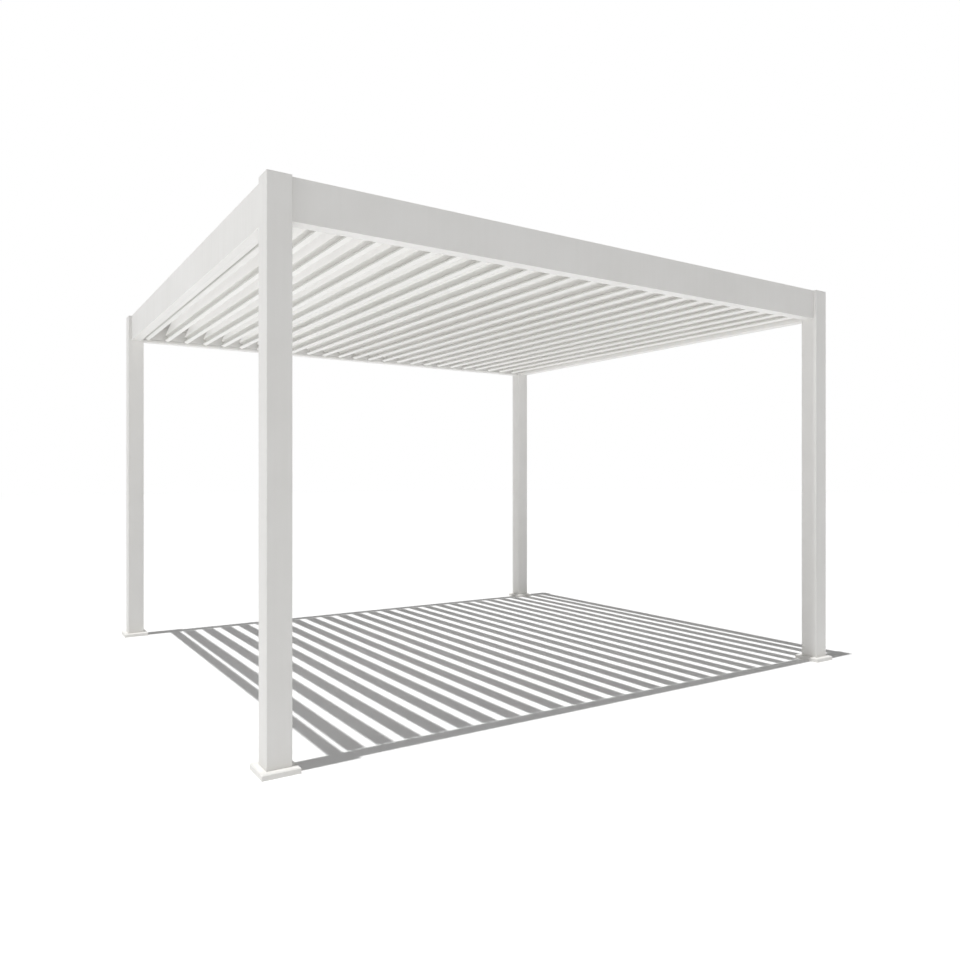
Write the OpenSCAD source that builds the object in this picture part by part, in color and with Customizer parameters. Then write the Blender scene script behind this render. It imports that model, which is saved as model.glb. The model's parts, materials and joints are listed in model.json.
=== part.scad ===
// Freestanding louvred patio cover: four square posts carry a ring of box
// beams with an inner gutter, and a roof of turning louvres lies between them.
// Millimetres, +Z up. X runs along the long side, Y towards the back, and the
// origin is on the ground under the middle of the roof.

/* [Overall size] */
// Length over the posts, along X
cover_length = 3850; // [3200:10:5200]
// Depth over the posts, along Y
cover_depth = 3520; // [2600:10:4600]
// Height from the ground to the top of the roof ring
cover_height = 2500; // [2000:10:3200]

/* [Posts] */
// Side of the square post tube
post_side = 110; // [100:1:160]
// Wall of the post tube
post_wall = 2.5; // [1.5:0.1:5]
// Radius on the long edges of a post
post_edge = 3; // [0.5:0.5:8]
// Thickness of the cap that closes a post
cap_thick = 3; // [1.5:0.5:8]
// Depth of the cap's plug inside the tube
cap_plug = 14; // [5:1:40]

/* [Feet] */
// How far the foot plate reaches past the post, on each side
foot_plate_margin = 25; // [20:1:50]
// Thickness of the foot plate
foot_plate_thick = 8; // [5:1:15]
// Distance of an anchor hole's middle outside the post's faces
anchor_offset = 13; // [11:1:40]
// Radius of an anchor hole
anchor_hole_r = 5.5; // [4:0.5:8]
// Height of the cover that hides the foot plate
foot_cover_height = 26; // [18:1:60]
// Wall of the foot cover
foot_cover_wall = 2; // [1:0.5:4]
// Slope cut off the cover's upper edge
foot_cover_chamfer = 5; // [1:0.5:9]

/* [Roof ring] */
// Distance of a beam's outer face behind the posts' outer faces
beam_recess = 21; // [2:1:30]
// Height of a beam
beam_height = 190; // [160:1:260]
// Width of a beam's closed box
beam_box = 38; // [25:1:50]
// Wall of a beam
beam_wall = 2.5; // [1.5:0.1:4]
// How far the gutter's lip stands back from the posts' inner faces
lip_setback = 19; // [14:1:24]
// Height of the gutter's lip above the beam's underside
lip_height = 17; // [8:1:24]
// Thickness of the gutter's lip
lip_thick = 3; // [1.5:0.5:5]

/* [Louvres] */
// Number of louvres
louvre_count = 25; // [18:1:34]
// How far a closed louvre laps over the next one's rain channel
louvre_lap = 18.5; // [14:0.5:26]
// Thickness of a louvre's hollow blade
blade_thick = 20; // [16:1:26]
// Wall of a louvre
louvre_wall = 1.6; // [1.2:0.1:2.5]
// Thickness of the cap at a blade's end
louvre_cap_thick = 3; // [2:0.5:6]
// Width of the rain channel along a louvre's lower edge
channel_width = 38; // [32:1:42]
// Depth of the rain channel below the blade's upper face
channel_depth = 40; // [32:1:46]
// Thickness of the tongue
tongue_thick = 2.5; // [1.5:0.5:4]
// How far the tongue's tip hangs down
tongue_drop = 16; // [8:1:20]
// How far the closed roof reaches over the lips of the side gutters
roof_overlap = 5; // [2:1:12]
// Opening angle of the louvres as drawn, 0 is closed
louvre_angle = 68; // [0:1:110]

/* [Pivots] */
// Distance of the pivot inside the blade, from the channel's wall
pivot_inset = 13; // [10:1:30]
// Height of the pivot above the gutter lip
pivot_above_lip = 49; // [46:1:60]
// Radius of a pivot pin
pin_r = 6; // [4:0.5:8]
// Thickness of the rail that holds the pins
rail_thick = 6; // [4:1:10]
// How far a pin's end stands out behind its rail
pin_end = 3; // [1:0.5:6]
// Height of the rail above the pivots
rail_above_pivot = 46; // [36:1:60]
// Distance of the rail's foot above the gutter lip
rail_above_lip = 3; // [1:1:10]
// Number of brackets that carry a rail
bracket_count = 6; // [3:1:12]
// Width of a rail bracket
bracket_width = 30; // [15:1:60]
// Height of a rail bracket
bracket_height = 24; // [10:1:40]

/* [Clearances] */
// Gap round the post in the foot cover, and round the plate inside it
cover_gap = 2; // [0.5:0.5:4]
// Gap round a cap's plug
plug_gap = 0.5; // [0.2:0.1:1.5]
// Gap between a louvre's end and the rail
end_gap = 7; // [5:0.5:12]
// Gap between a louvre's tongue and the next louvre's channel edge
tongue_gap = 5.5; // [5:0.5:8]
// Gap between a blade and the next louvre's channel wall
blade_gap = 7; // [5:0.5:12]
// Running gap round a pin
pin_gap = 0.05; // [0.01:0.01:0.1]

/* [Hidden] */
CORNERS = ["front_left", "front_right", "back_left", "back_right"];
louvre_names = [for (i = [1:louvre_count]) str("louvre_", i < 10 ? "0" : "", i)];
$fn = 48;
EPS = 0.01;

// How far the cutting shapes run past what they cut
over = 1;
post_inner = post_side - 2 * post_wall;
foot_plate_side = post_side + 2 * foot_plate_margin;
anchor_spacing = post_side + 2 * anchor_offset;
foot_cover_side = foot_plate_side + 2 * cover_gap + 2 * foot_cover_wall;
post_x = cover_length / 2 - post_side / 2;
post_y = cover_depth / 2 - post_side / 2;
span_x = cover_length - 2 * post_side;
span_y = cover_depth - 2 * post_side;
beam_width = post_side - beam_recess - lip_setback;
gutter_width = beam_width - beam_box - lip_thick;
beam_bottom = cover_height - beam_height;

// Clear opening between the lips of the left and right gutters
opening_x = span_x + 2 * lip_setback;
closed_width = opening_x + 2 * roof_overlap;
louvre_pitch = (closed_width - louvre_lap) / louvre_count;
louvre_width = louvre_pitch + louvre_lap;
louvre_length = span_y - 2 * end_gap;
blade_end = louvre_pitch - blade_gap;
pivot_from_edge = channel_width + pivot_inset;
first_pivot_x = -closed_width / 2 + pivot_from_edge;
lip_top = beam_bottom + lip_height;
pivot_z = lip_top + pivot_above_lip;
pin_reach = end_gap + rail_thick + pin_end;

rail_bottom = lip_top + rail_above_lip;
rail_height = pivot_z + rail_above_pivot - rail_bottom;
rail_inner_y = span_y / 2;
bracket_reach = cover_depth / 2 - beam_recess - beam_box - rail_inner_y - rail_thick;
bracket_z = rail_bottom + rail_height - bracket_height;

POWDER_WHITE = [0.92, 0.92, 0.91];
GALVANISED = [0.62, 0.63, 0.64];

// Side of the frame that a corner's name stands for: -1 or 1
function corner_sx(c) = (c == "front_left" || c == "back_left") ? -1 : 1;
function corner_sy(c) = (c == "front_left" || c == "front_right") ? -1 : 1;

// Square with round corners made of true arcs
module round_square(side, r) {
    square([side - 2 * r, side], center = true);
    square([side, side - 2 * r], center = true);
    for (x = [-1, 1], y = [-1, 1])
        translate([x * (side / 2 - r), y * (side / 2 - r)]) circle(r);
}

// Places a child at the foot of a corner's post
module at_corner(c) {
    translate([corner_sx(c) * post_x, corner_sy(c) * post_y, 0]) children();
}

// Square tube from the foot plate up to the cap
module post(c) {
    color(POWDER_WHITE) at_corner(c)
        translate([0, 0, foot_plate_thick])
            linear_extrude(cover_height - foot_plate_thick - cap_thick)
                difference() {
                    round_square(post_side, post_edge);
                    square(post_inner, center = true);
                }
}

// Flat lid with a plug that sits inside the tube
module post_cap(c) {
    color(POWDER_WHITE) at_corner(c)
        translate([0, 0, cover_height - cap_thick]) {
            linear_extrude(cap_thick) round_square(post_side, post_edge);
            translate([0, 0, -cap_plug])
                linear_extrude(cap_plug + EPS)
                    difference() {
                        square(post_inner - 2 * plug_gap, center = true);
                        square(post_inner - 2 * plug_gap - 2 * cap_thick, center = true);
                    }
        }
}

// Anchor plate under the post, with a hole at each corner
module foot_plate(c) {
    color(GALVANISED) at_corner(c)
        difference() {
            translate([0, 0, foot_plate_thick / 2])
                cube([foot_plate_side, foot_plate_side, foot_plate_thick], center = true);
            for (x = [-1, 1], y = [-1, 1])
                translate([x * anchor_spacing / 2, y * anchor_spacing / 2, -over])
                    cylinder(h = foot_plate_thick + 2 * over, r = anchor_hole_r);
        }
}

// Long block with both upper edges cut off, along Y
module chamfered_block(side, height, cut) {
    rotate([90, 0, 0])
        linear_extrude(side, center = true)
            polygon([
                [-side / 2, 0], [side / 2, 0],
                [side / 2, height - cut], [side / 2 - cut, height],
                [-side / 2 + cut, height], [-side / 2, height - cut]
            ]);
}

// Low hollow cover that hides the foot plate
module foot_cover(c) {
    inner = foot_cover_side - 2 * foot_cover_wall;
    inner_height = foot_cover_height - foot_cover_wall;
    color(POWDER_WHITE) at_corner(c)
        difference() {
            intersection() {
                chamfered_block(foot_cover_side, foot_cover_height, foot_cover_chamfer);
                rotate(90) chamfered_block(foot_cover_side, foot_cover_height, foot_cover_chamfer);
            }
            intersection() {
                chamfered_block(inner, inner_height, foot_cover_chamfer);
                rotate(90) chamfered_block(inner, inner_height, foot_cover_chamfer);
            }
            translate([0, 0, -over])
                linear_extrude(foot_cover_height + 2 * over)
                    square(post_side + cover_gap, center = true);
            translate([0, 0, -over])
                linear_extrude(over + EPS) square(inner, center = true);
        }
}

// Section of a beam: closed box outside, gutter with an upright lip inside.
// x runs from the outer face inwards, y is the height above the underside.
module beam_section() {
    difference() {
        square([beam_box, beam_height]);
        translate([beam_wall, beam_wall])
            square([beam_box - 2 * beam_wall, beam_height - 2 * beam_wall]);
    }
    translate([beam_box - EPS, 0]) square([gutter_width + lip_thick + EPS, beam_wall]);
    translate([beam_box + gutter_width, 0]) square([lip_thick, lip_height]);
}

// Beam that runs along X at the front, span long, outer face towards -Y
module beam(span, outer) {
    translate([-span / 2, -outer + beam_recess, beam_bottom])
        rotate([90, 0, 90]) linear_extrude(span) beam_section();
}

module beam_front() { color(POWDER_WHITE) beam(span_x, cover_depth / 2); }
module beam_back() { color(POWDER_WHITE) rotate(180) beam(span_x, cover_depth / 2); }
module beam_left() { color(POWDER_WHITE) rotate(-90) beam(span_y, cover_length / 2); }
module beam_right() { color(POWDER_WHITE) rotate(90) beam(span_y, cover_length / 2); }

// X of the pivot of louvre i, the first is 0
function pivot_x(i) = first_pivot_x + i * louvre_pitch;

// Upright rail along X with a hole for each pin, and the brackets that carry it
module pivot_rail() {
    difference() {
        translate([-span_x / 2, -rail_inner_y - rail_thick, rail_bottom])
            cube([span_x, rail_thick, rail_height]);
        for (i = [0:louvre_count - 1])
            translate([pivot_x(i), -rail_inner_y + over, pivot_z])
                rotate([90, 0, 0]) cylinder(h = rail_thick + 2 * over, r = pin_r + pin_gap);
    }
    bracket_step = span_x / bracket_count;
    for (i = [0:bracket_count - 1])
        translate([-span_x / 2 + (i + 0.5) * bracket_step - bracket_width / 2,
                   -rail_inner_y - rail_thick - bracket_reach, bracket_z])
            cube([bracket_width, bracket_reach + EPS, bracket_height]);
}

module pivot_rail_front() { color(POWDER_WHITE) pivot_rail(); }
module pivot_rail_back() { color(POWDER_WHITE) mirror([0, 1, 0]) pivot_rail(); }

// Outline of the closed blade between the channel and the tongue
module blade_outline() {
    translate([channel_width, -blade_thick])
        square([blade_end - channel_width, blade_thick]);
}

// Section of a closed louvre. x runs from the channel's outer wall to the
// tongue's tip, y is 0 at the blade's upper face.
module louvre_section() {
    channel_top = tongue_thick + tongue_gap;
    difference() {
        blade_outline();
        translate([channel_width + louvre_wall, -blade_thick + louvre_wall])
            square([blade_end - channel_width - 2 * louvre_wall, blade_thick - 2 * louvre_wall]);
    }
    // channel: outer wall, floor and the wall below the blade
    translate([0, -channel_depth]) square([louvre_wall, channel_depth - channel_top]);
    translate([0, -channel_depth]) square([channel_width + louvre_wall, louvre_wall]);
    translate([channel_width, -channel_depth])
        square([louvre_wall, channel_depth - blade_thick + EPS]);
    // tongue: flat part and its hanging tip
    translate([blade_end - EPS, -tongue_thick])
        square([louvre_width - blade_end + EPS, tongue_thick]);
    translate([louvre_width - tongue_thick, -tongue_drop])
        square([tongue_thick, tongue_drop]);
}

// Louvre i: hollow blade, an end cap at each end and a pin in each cap
module louvre(i) {
    color(POWDER_WHITE)
        translate([pivot_x(i), 0, pivot_z])
            rotate([0, -louvre_angle, 0]) {
                translate([-pivot_from_edge, louvre_length / 2, blade_thick / 2])
                    rotate([90, 0, 0]) {
                        linear_extrude(louvre_length) louvre_section();
                        linear_extrude(louvre_cap_thick) blade_outline();
                        translate([0, 0, louvre_length - louvre_cap_thick])
                            linear_extrude(louvre_cap_thick) blade_outline();
                    }
                for (s = [0, 180])
                    rotate(s) translate([0, -louvre_length / 2 + EPS, 0])
                        rotate([90, 0, 0]) cylinder(h = pin_reach + EPS, r = pin_r);
            }
}

for (c = CORNERS) {
    post(c);
    post_cap(c);
    foot_plate(c);
    foot_cover(c);
}
beam_front();
beam_back();
beam_left();
beam_right();
pivot_rail_front();
pivot_rail_back();
for (i = [0:louvre_count - 1]) {
    louvre(i);
}
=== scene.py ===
"""Dressed model of a freestanding louvred patio cover.

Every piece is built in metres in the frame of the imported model: X along the long side, Y towards the back,
Z up, the origin on the ground under the middle of the roof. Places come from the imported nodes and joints, and
the sizes that give a piece its shape are the fields of its class.
"""

import json
import logging
import math
from dataclasses import dataclass, field
from enum import Enum
from functools import cache

import bmesh
import bpy
import numpy as np
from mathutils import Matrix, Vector


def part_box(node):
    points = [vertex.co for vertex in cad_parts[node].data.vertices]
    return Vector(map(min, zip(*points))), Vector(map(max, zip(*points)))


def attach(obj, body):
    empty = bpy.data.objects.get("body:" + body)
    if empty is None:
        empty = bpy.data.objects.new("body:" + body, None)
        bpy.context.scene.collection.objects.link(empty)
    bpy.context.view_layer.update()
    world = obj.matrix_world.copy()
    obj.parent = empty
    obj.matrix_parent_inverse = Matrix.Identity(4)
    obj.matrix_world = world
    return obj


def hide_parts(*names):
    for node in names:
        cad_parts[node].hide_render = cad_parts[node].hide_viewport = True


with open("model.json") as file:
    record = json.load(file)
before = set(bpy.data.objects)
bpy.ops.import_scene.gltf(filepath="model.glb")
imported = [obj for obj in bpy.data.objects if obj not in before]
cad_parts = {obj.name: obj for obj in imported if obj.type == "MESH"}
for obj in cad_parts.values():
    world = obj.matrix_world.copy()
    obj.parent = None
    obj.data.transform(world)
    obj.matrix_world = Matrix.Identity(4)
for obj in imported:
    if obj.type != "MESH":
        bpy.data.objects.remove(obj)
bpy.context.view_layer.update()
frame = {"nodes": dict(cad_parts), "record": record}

Array = np.ndarray
Object = bpy.types.Object
Tree = bpy.types.NodeTree
Material = bpy.types.Material
Link = tuple[bpy.types.Node, str]
Vec3 = tuple[float, float, float]
SHARP_ANGLE = math.radians(38.0)
MM = 0.001
UP = np.array([0.0, 0.0, 1.0])
LOG = logging.getLogger("patio_cover")


class Slot(Enum):
    """Material slots of the record that a piece takes its finish from."""

    FRAME = "powder_coat_frame"
    LOUVRE = "powder_coat_louvre"
    CAP = "powder_coat_cap"
    PLATE = "galvanised_plate"
    FIXING = "stainless_fixings"
    BUSH = "nylon_bush"
    SEAL = "pale_seal"
    GASKET = "dark_gasket"


class Place(Enum):
    """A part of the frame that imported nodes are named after."""

    @property
    def label(self) -> str:
        """The place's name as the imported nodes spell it."""
        return self.name.lower()


class Corner(Place):
    """The four posts, by the side of the frame they stand on: (x, y)."""

    FRONT_LEFT = (-1, -1)
    FRONT_RIGHT = (1, -1)
    BACK_LEFT = (-1, 1)
    BACK_RIGHT = (1, 1)


class Side(Place):
    """The four sides of the roof ring, by the way that leads inwards from each: (x, y)."""

    FRONT = (0, 1)
    BACK = (0, -1)
    LEFT = (1, 0)
    RIGHT = (-1, 0)


# -------------------- Finishes --------------------


def linear(code: str) -> tuple[float, ...]:
    """Turn an sRGB hex colour into linear light.

    Args:
        code: six hex digits with a leading #.

    Returns:
        Red, green, blue and an alpha of 1.
    """
    part = np.array([int(code[i : i + 2], 16) for i in (1, 3, 5)]) / 255.0
    light = np.where(part <= 0.04045, part / 12.92, ((part + 0.055) / 1.055) ** 2.4)
    return (*(float(v) for v in light), 1.0)


def per_metre(size_mm: float) -> float:
    """Scale of a pattern whose cells are size_mm wide, on coordinates in metres."""
    return 1000.0 / size_mm


def add_node(
    tree: Tree, kind: str, values: dict | None = None, links: dict | None = None, **settings: object
) -> bpy.types.Node:
    """Add a node with its settings and links.

    Args:
        tree: the node tree.
        kind: the node's type name after ShaderNode.
        values: constants for input sockets, by socket name or number.
        links: the node and output that each input socket is joined to.
        settings: properties of the node itself.

    Returns:
        The new node.
    """
    node = tree.nodes.new(f"ShaderNode{kind}")
    for name, value in settings.items():
        setattr(node, name, value)
    for name, value in (values or {}).items():
        node.inputs[name].default_value = value
    for name, (source, output) in (links or {}).items():
        tree.links.new(source.outputs[output], node.inputs[name])
    return node


def new_material(name: str) -> tuple[Material, Tree, Link]:
    """Start an empty material.

    Args:
        name: the finish's name.

    Returns:
        The material, its node tree and the link to its Object coordinates.
    """
    made = bpy.data.materials.new(name)
    made.use_nodes = True
    made.node_tree.nodes.clear()
    return made, made.node_tree, (add_node(made.node_tree, "TexCoord"), "Object")


def set_shader(tree: Tree, values: dict, links: dict) -> None:
    """End a material with its Principled shader.

    Args:
        tree: the material's node tree.
        values: constants for the shader's inputs.
        links: the node and output that each input of the shader is joined to.
    """
    shader = add_node(tree, "BsdfPrincipled", values, links)
    add_node(tree, "OutputMaterial", links={"Surface": (shader, "BSDF")})


@dataclass(frozen=True)
class PowderCoat:
    """Satin polyester powder coat, sprayed and baked on aluminium extrusions.

    It gives an even white with a fine orange-peel skin, a slow cloudiness in shade and gloss from the film's
    changing thickness, faint streaks where rain has run down, and a little dust low on the posts.
    """

    name: str
    colour: str = "#ECEBE9"
    shade: str = "#E4E3E0"
    dust: str = "#CBC6BA"
    roughness: float = 0.42
    peel_mm: float = 2.6
    cloud_mm: float = 420.0
    streak_mm: float = 26.0
    streak_share: float = 0.3
    dust_height: float = 0.16
    dust_share: float = 0.3
    speck_mm: float = 9.0

    def material(self) -> Material:
        """Build the material.

        Returns:
            A material on Object coordinates.
        """
        made, tree, place = new_material(self.name)
        slow = {"Scale": per_metre(self.cloud_mm), "Detail": 3.0}
        cloud = add_node(tree, "TexNoise", slow, {"Vector": place})
        # Streaks are narrow across and long down the face.
        stretched = add_node(tree, "Mapping", {"Scale": (1.0, 1.0, 0.05)}, {"Vector": place})
        narrow = {"Scale": per_metre(self.streak_mm), "Detail": 4.0, "Roughness": 0.6}
        streak = add_node(tree, "TexNoise", narrow, {"Vector": (stretched, "Vector")})
        fields = {0: (streak, "Fac"), 2: (cloud, "Fac")}
        mixed = add_node(tree, "Math", {1: self.streak_share}, fields, operation="MULTIPLY_ADD")
        span = {"From Min": 0.35, "From Max": 0.95, "To Min": 0.0, "To Max": 1.0}
        share = add_node(tree, "MapRange", span, {"Value": (mixed, "Value")})
        paints = {"A": linear(self.colour), "B": linear(self.shade)}
        film = add_node(tree, "Mix", paints, {"Factor": (share, "Result")}, data_type="RGBA")
        # Dust thins out with height and clings in specks.
        height = add_node(tree, "SeparateXYZ", links={"Vector": place})
        span = {"From Min": 0.0, "From Max": self.dust_height, "To Min": self.dust_share, "To Max": 0.0}
        low = add_node(tree, "MapRange", span, {"Value": (height, "Z")})
        grain = {"Scale": per_metre(self.speck_mm), "Detail": 6.0, "Roughness": 0.7}
        speck = add_node(tree, "TexNoise", grain, {"Vector": place})
        both = {0: (low, "Result"), 1: (speck, "Fac")}
        settled = add_node(tree, "Math", links=both, operation="MULTIPLY")
        both = {"Factor": (settled, "Value"), "A": (film, "Result")}
        colour = add_node(tree, "Mix", {"B": linear(self.dust)}, both, data_type="RGBA")
        span = {"To Min": self.roughness - 0.05, "To Max": self.roughness + 0.06}
        span |= {"From Min": 0.3, "From Max": 0.7}
        gloss = add_node(tree, "MapRange", span, {"Value": (streak, "Fac")})
        fine = {"Scale": per_metre(self.peel_mm), "Detail": 1.0}
        peel = add_node(tree, "TexNoise", fine, {"Vector": place})
        depth = {"Strength": 0.22, "Distance": 0.12 * MM}
        skin = add_node(tree, "Bump", depth, {"Height": (peel, "Fac")})
        look = {"Base Color": (colour, "Result"), "Roughness": (gloss, "Result")}
        set_shader(tree, {"IOR": 1.5}, {**look, "Normal": (skin, "Normal")})
        return made


@dataclass(frozen=True)
class GalvanisedSteel:
    """Hot-dip galvanised steel plate.

    The zinc freezes in flat crystals about a centimetre across, each with its own grey and its own gloss.
    """

    name: str
    pale: str = "#B4B8BB"
    deep: str = "#8D9296"
    spangle_mm: float = 11.0
    bend: float = 2.0 * MM

    def material(self) -> Material:
        """Build the material on Object coordinates."""
        made, tree, place = new_material(self.name)
        fine = {"Scale": per_metre(self.spangle_mm * 0.6), "Detail": 2.0}
        wander = add_node(tree, "TexNoise", fine, {"Vector": place})
        fields = {0: (wander, "Color"), 2: place}
        bent = add_node(tree, "VectorMath", {1: (self.bend,) * 3}, fields, operation="MULTIPLY_ADD")
        cells, spots = {"Scale": per_metre(self.spangle_mm)}, {"Vector": (bent, "Vector")}
        crystal = add_node(tree, "TexVoronoi", cells, spots, feature="F1")
        grey = add_node(tree, "SeparateColor", links={"Color": (crystal, "Color")})
        greys = {"A": linear(self.deep), "B": linear(self.pale)}
        colour = add_node(tree, "Mix", greys, {"Factor": (grey, "Red")}, data_type="RGBA")
        span = {"To Min": 0.38, "To Max": 0.58}
        gloss = add_node(tree, "MapRange", span, {"Value": (grey, "Green")})
        look = {"Base Color": (colour, "Result"), "Roughness": (gloss, "Result")}
        set_shader(tree, {"Metallic": 1.0}, look)
        return made


@dataclass(frozen=True)
class TurnedStainless:
    """Austenitic stainless steel, turned on a lathe.

    It gives a warm grey metal with fine tool rings that blur its highlights a little.
    """

    name: str
    colour: str = "#CDCAC4"
    shade: str = "#B5B2AC"
    ring_mm: float = 0.9

    def material(self) -> Material:
        """Build the material on Object coordinates."""
        made, tree, place = new_material(self.name)
        # Pins and screws point along Y, so the tool rings are cut close together that way.
        squeezed = add_node(tree, "Mapping", {"Scale": (0.08, 1.0, 0.08)}, {"Vector": place})
        fine = {"Scale": per_metre(self.ring_mm), "Detail": 3.0}
        rings = add_node(tree, "TexNoise", fine, {"Vector": (squeezed, "Vector")})
        greys = {"A": linear(self.colour), "B": linear(self.shade)}
        colour = add_node(tree, "Mix", greys, {"Factor": (rings, "Fac")}, data_type="RGBA")
        span = {"To Min": 0.22, "To Max": 0.4}
        gloss = add_node(tree, "MapRange", span, {"Value": (rings, "Fac")})
        look = {"Base Color": (colour, "Result"), "Roughness": (gloss, "Result")}
        set_shader(tree, {"Metallic": 1.0}, look)
        return made


@dataclass(frozen=True)
class MouldedPolymer:
    """Plain moulded or extruded polymer: nylon bushes and rubber seals.

    It gives one even colour with a matt skin, faintly mottled, whose grain comes from the mould or the die.
    """

    name: str
    colour: str
    shade: str
    roughness: float
    ior: float
    grain_mm: float = 1.2

    def material(self) -> Material:
        """Build the material on Object coordinates."""
        made, tree, place = new_material(self.name)
        coarse = {"Scale": per_metre(self.grain_mm * 12), "Detail": 4.0}
        mottle = add_node(tree, "TexNoise", coarse, {"Vector": place})
        tints = {"A": linear(self.colour), "B": linear(self.shade)}
        colour = add_node(tree, "Mix", tints, {"Factor": (mottle, "Fac")}, data_type="RGBA")
        fine = {"Scale": per_metre(self.grain_mm), "Detail": 2.0}
        grain = add_node(tree, "TexNoise", fine, {"Vector": place})
        depth = {"Strength": 0.3, "Distance": 0.1 * MM}
        skin = add_node(tree, "Bump", depth, {"Height": (grain, "Fac")})
        look = {"Base Color": (colour, "Result"), "Normal": (skin, "Normal")}
        set_shader(tree, {"Roughness": self.roughness, "IOR": self.ior}, look)
        return made


FINISHES = {
    Slot.FRAME: PowderCoat("powder_coated_extrusion"),
    # The louvres take a lighter copy of the frame's white coat. The extra lightness is painted light, standing
    # in for the brighter light that falls on the louvres.
    Slot.LOUVRE: PowderCoat("powder_coated_louvre", "#F4F3F1", "#EEEDEA", streak_mm=34.0),
    Slot.CAP: PowderCoat("powder_coated_casting", roughness=0.46, peel_mm=3.4),
    Slot.PLATE: GalvanisedSteel("hot_dip_galvanised_steel"),
    Slot.FIXING: TurnedStainless("turned_stainless_steel"),
    Slot.BUSH: MouldedPolymer("natural_nylon", "#E6E4DC", "#DAD7CD", 0.42, 1.53),
    Slot.SEAL: MouldedPolymer("pale_extruded_rubber", "#D6D6D2", "#C9C9C4", 0.68, 1.5),
    # The gaskets' dark rubber is partly painted shade: it stands in for the shadow line where each beam meets
    # its post.
    Slot.GASKET: MouldedPolymer("dark_extruded_rubber", "#5A5B5B", "#4A4B4B", 0.75, 1.5),
}


@cache
def finish(slot: Slot) -> Material:
    """The material of a slot, built once."""
    return FINISHES[slot].material()


def coat(node: str, slot: Slot) -> None:
    """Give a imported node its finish, because its shape is right as it is."""
    mesh = frame["nodes"][node].data
    mesh.materials.clear()
    mesh.materials.append(finish(slot))


# -------------------- Surfaces --------------------


def rounded_outline(corners: Array, radii: Array, steps: int = 5) -> Array:
    """Round every corner of a closed outline.

    At a corner P between the unit directions a and b to its neighbours, an arc of radius r runs from
    P + a t to P + b t with t = r / tan(h), where h is half the corner's angle. Its middle lies r / sin(h)
    along the bisector, and the arc's points are that middle plus its two end spokes, blended by the sines of
    the angle already turned and the angle still to turn.

    Args:
        corners: the outline's corners, shape (n, 2).
        radii: a radius for each corner.
        steps: points on each arc.

    Returns:
        The rounded outline, shape (n * steps, 2).
    """
    back = np.roll(corners, 1, axis=0) - corners
    ahead = np.roll(corners, -1, axis=0) - corners
    back = back / np.linalg.norm(back, axis=1, keepdims=True)
    ahead = ahead / np.linalg.norm(ahead, axis=1, keepdims=True)
    half = 0.5 * np.arccos(np.clip((back * ahead).sum(axis=1), -1.0, 1.0))
    bisector = back + ahead
    bisector = bisector / np.linalg.norm(bisector, axis=1, keepdims=True)
    middle = corners + bisector * (radii / np.sin(half))[:, None]
    reach = (radii / np.tan(half))[:, None]
    first, last = corners + back * reach - middle, corners + ahead * reach - middle
    turn = (np.pi - 2.0 * half)[:, None]
    share = np.linspace(0.0, 1.0, steps)[None, :]
    out, into = np.sin((1.0 - share) * turn) / np.sin(turn), np.sin(share * turn) / np.sin(turn)
    arcs = middle[:, None] + first[:, None] * out[..., None] + last[:, None] * into[..., None]
    return arcs.reshape(-1, 2)


def rounded_square(half_side: Array, radius: Array, steps: int = 6, part: float = 1.0) -> Array:
    """Points along a square with round corners, one loop for each half side given.

    The loop starts at the middle of the +X side. In each quarter the points of the corner arc stand at
    (h - r + r cos a, h - r + r sin a), and the quarter turns through 0, 90, 180 and 270 degrees.

    Args:
        half_side: half the side of each loop, shape (k,).
        radius: corner radius of each loop, shape (k,).
        steps: points on each corner arc.
        part: 1 for the closed loop, 0.5 for the half that ends at the middle of the -X side.

    Returns:
        Points in X and Y, shape (k, n, 2).
    """
    half_side, radius = np.atleast_1d(half_side)[:, None, None], np.atleast_1d(radius)[:, None, None]
    angle = np.linspace(0.0, np.pi / 2, steps)
    arc = np.stack([np.cos(angle), np.sin(angle)], axis=-1)[None]
    corner = (half_side - radius) + radius * arc
    turns = np.arange(4 if part == 1.0 else 2) * np.pi / 2
    c, s = np.cos(turns), np.sin(turns)
    spin = np.stack([np.stack([c, -s], axis=-1), np.stack([s, c], axis=-1)], axis=-2)
    loop = np.einsum("tij,knj->ktni", spin, corner).reshape(len(half_side), -1, 2)
    middle = np.concatenate([half_side, np.zeros_like(half_side)], axis=-1)
    if part == 1.0:
        return np.concatenate([middle, loop], axis=1)
    return np.concatenate([middle, loop, middle * [-1.0, 1.0]], axis=1)


def rectangle(left: float, low: float, right: float, high: float) -> Array:
    """The four corners of a rectangle, anticlockwise from the lowest left one."""
    return np.array([[left, low], [right, low], [right, high], [left, high]])


def lifted(flat: Array, height: Array) -> Array:
    """Give points in X and Y their heights, which spread over the points."""
    return np.concatenate([flat, np.broadcast_to(height, (*flat.shape[:-1], 1))], axis=-1)


def carried(section: Array, origin: Array, across: Array, along: Array, runs: Array) -> Array:
    """Carry section points straight along a direction.

    A section point (x, y) at the distance s goes to the origin + x across + y up + s along.

    Args:
        section: points, shape (columns, 2).
        origin: where the section's own origin lies.
        across: direction of the section's x.
        along: direction that it is carried in.
        runs: distances along it, shape (rows,).

    Returns:
        Loops, shape (rows, columns, 3).
    """
    flat = section[:, :1] * across + section[:, 1:] * UP
    return origin + flat[None] + runs[:, None, None] * along


def revolve(profile: Array, columns: int = 24) -> Array:
    """Turn a profile round the local Z axis.

    A profile point (r, h) becomes the circle (r cos a, r sin a, h).

    Args:
        profile: radius and height of each row, shape (rows, 2).
        columns: points round each circle.

    Returns:
        Loops, shape (rows, columns, 3).
    """
    a = np.arange(columns) * 2.0 * np.pi / columns
    r, h = profile[:, 0, None], profile[:, 1, None]
    return np.stack([r * np.cos(a), r * np.sin(a), np.broadcast_to(h, (len(profile), columns))], axis=-1)


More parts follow.
